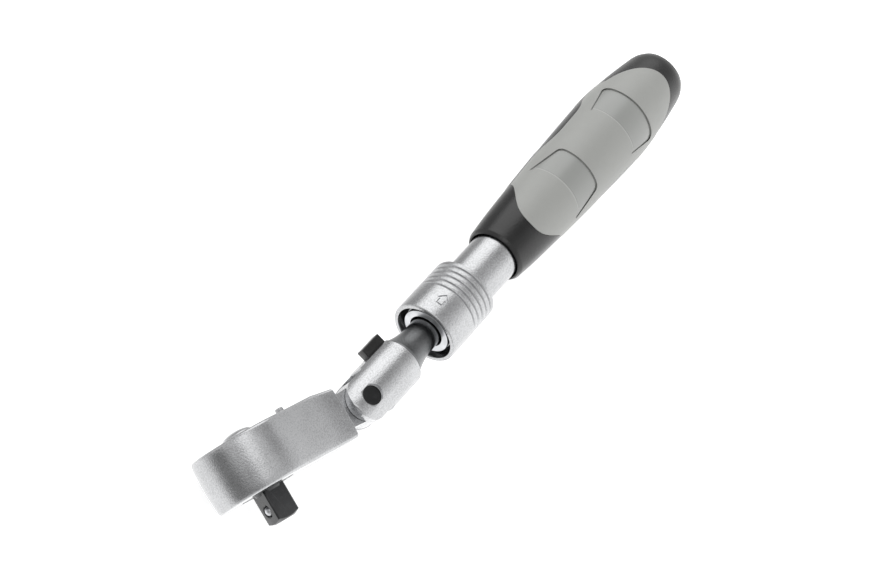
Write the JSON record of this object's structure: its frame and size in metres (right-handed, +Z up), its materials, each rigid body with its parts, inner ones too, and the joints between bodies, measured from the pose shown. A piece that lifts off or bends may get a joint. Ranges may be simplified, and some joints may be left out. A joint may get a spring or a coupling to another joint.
{
  "type": "extendable ratchet",
  "caption": "Extendable ratchet: pear head on a locking flex yoke, male square with ball detent and quick release, telescopic bar held by a pull-back collar, soft two-part grip.",
  "frame": {"origin": "on the floor under the middle of the tool's bounding box, with the tool lying on its side", "axes": "+X along the shaft from the head to the handle, +Y towards the back of the head, +Z up along the flex pin"},
  "size_m": [0.287, 0.0466, 0.0403],
  "materials": {
    "satin_chrome": "satin pearl chrome plating",
    "dark_steel": "black oxide",
    "bright_steel": "bare ground steel",
    "black_plastic": "fine moulded grain",
    "grey_grip": "soft matt overmould",
    "black_rubber": "smooth"
  },
  "bodies": {
    "handle": {"handle_core": "black_plastic", "grip_top": "grey_grip", "grip_bottom": "grey_grip", "end_cap": "black_plastic", "outer_tube": "satin_chrome", "guide_bush": "bright_steel", "collar_stop_ring": "dark_steel", "spring_seat_ring": "dark_steel", "collar_spring": "bright_steel"},
    "collar": {"lock_collar": "satin_chrome"},
    "ball_1": {"lock_ball_1": "bright_steel"},
    "ball_2": {"lock_ball_2": "bright_steel"},
    "ball_3": {"lock_ball_3": "bright_steel"},
    "bar": {"extension_bar": "satin_chrome", "bar_stop": "bright_steel", "stop_screw": "dark_steel", "pivot_pin": "dark_steel", "lock_spring": "bright_steel"},
    "flex_lock": {"lock_button": "black_plastic", "lock_plunger": "bright_steel"},
    "head": {"head_body": "satin_chrome", "back_cover": "satin_chrome", "cover_screw_1": "dark_steel", "cover_screw_2": "dark_steel", "cover_screw_3": "dark_steel", "hub_seal": "black_rubber", "pawl_pin": "dark_steel"},
    "drive": {"drive_gear": "dark_steel", "release_spring": "bright_steel"},
    "release": {"release_button": "satin_chrome", "release_rod": "bright_steel"},
    "detent": {"detent_ball": "bright_steel"},
    "selector": {"selector_lever": "dark_steel", "selector_plunger": "bright_steel", "selector_spring": "bright_steel"},
    "pawl": {"pawl": "bright_steel"}
  },
  "joints": [
    {"name": "bar_slide", "type": "slide", "parent": "handle", "child": "bar", "axis": [-1, 0, 0], "range_m": [0, 0.09]},
    {"name": "collar_pull", "type": "slide", "parent": "handle", "child": "collar", "axis": [1, 0, 0], "range_m": [0, 0.0052], "stiffness_N_per_m": 900, "springref_m": -0.006, "deforming": ["collar_spring"]},
    {"name": "ball_lift_1", "type": "slide", "parent": "handle", "child": "ball_1", "axis": [0, 0, 1], "range_m": [0, 0.0011]},
    {"name": "ball_lift_2", "type": "slide", "parent": "handle", "child": "ball_2", "axis": [0, -0.866, -0.5], "range_m": [0, 0.0011]},
    {"name": "ball_lift_3", "type": "slide", "parent": "handle", "child": "ball_3", "axis": [0, 0.866, -0.5], "range_m": [0, 0.0011]},
    {"name": "head_flex", "type": "hinge", "parent": "bar", "child": "head", "pos_m": [-0.07101, -0.0067, 0.02016], "axis": [0, 0, 1], "range_deg": [-72, 104]},
    {"name": "lock_slide", "type": "slide", "parent": "bar", "child": "flex_lock", "axis": [1, 0, 0], "range_m": [0, 0.003], "stiffness_N_per_m": 1200, "springref_m": -0.003, "deforming": ["lock_spring"]},
    {"name": "drive_spin", "type": "hinge", "parent": "head", "child": "drive", "pos_m": [-0.12138, 0.00775, 0.02016], "axis": [-0.2756, -0.9613, 0], "continuous": true},
    {"name": "button_press", "type": "slide", "parent": "drive", "child": "release", "axis": [-0.2756, -0.9613, 0], "range_m": [0, 0.0016], "stiffness_N_per_m": 900, "springref_m": -0.002, "deforming": ["release_spring"]},
    {"name": "ball_sink", "type": "slide", "parent": "drive", "child": "detent", "axis": [0.9613, -0.2756, 0], "range_m": [0, 0.0006]},
    {"name": "selector_turn", "type": "hinge", "parent": "head", "child": "selector", "pos_m": [-0.09984, 0.00157, 0.02016], "axis": [0.2756, 0.9613, 0], "range_deg": [-50, 0]},
    {"name": "pawl_rock", "type": "hinge", "parent": "head", "child": "pawl", "pos_m": [-0.1058, 0.00328, 0.02016], "axis": [0.2756, 0.9613, 0], "range_deg": [0, 6.1]}
  ],
  "couplings": [
    {"joint": "ball_lift_1", "follows": "collar_pull", "ratio": 0.2115},
    {"joint": "ball_lift_2", "follows": "collar_pull", "ratio": 0.2115},
    {"joint": "ball_lift_3", "follows": "collar_pull", "ratio": 0.2115},
    {"joint": "ball_sink", "follows": "button_press", "ratio": 0.3749},
    {"joint": "pawl_rock", "follows": "selector_turn", "ratio": -0.1219}
  ]
}
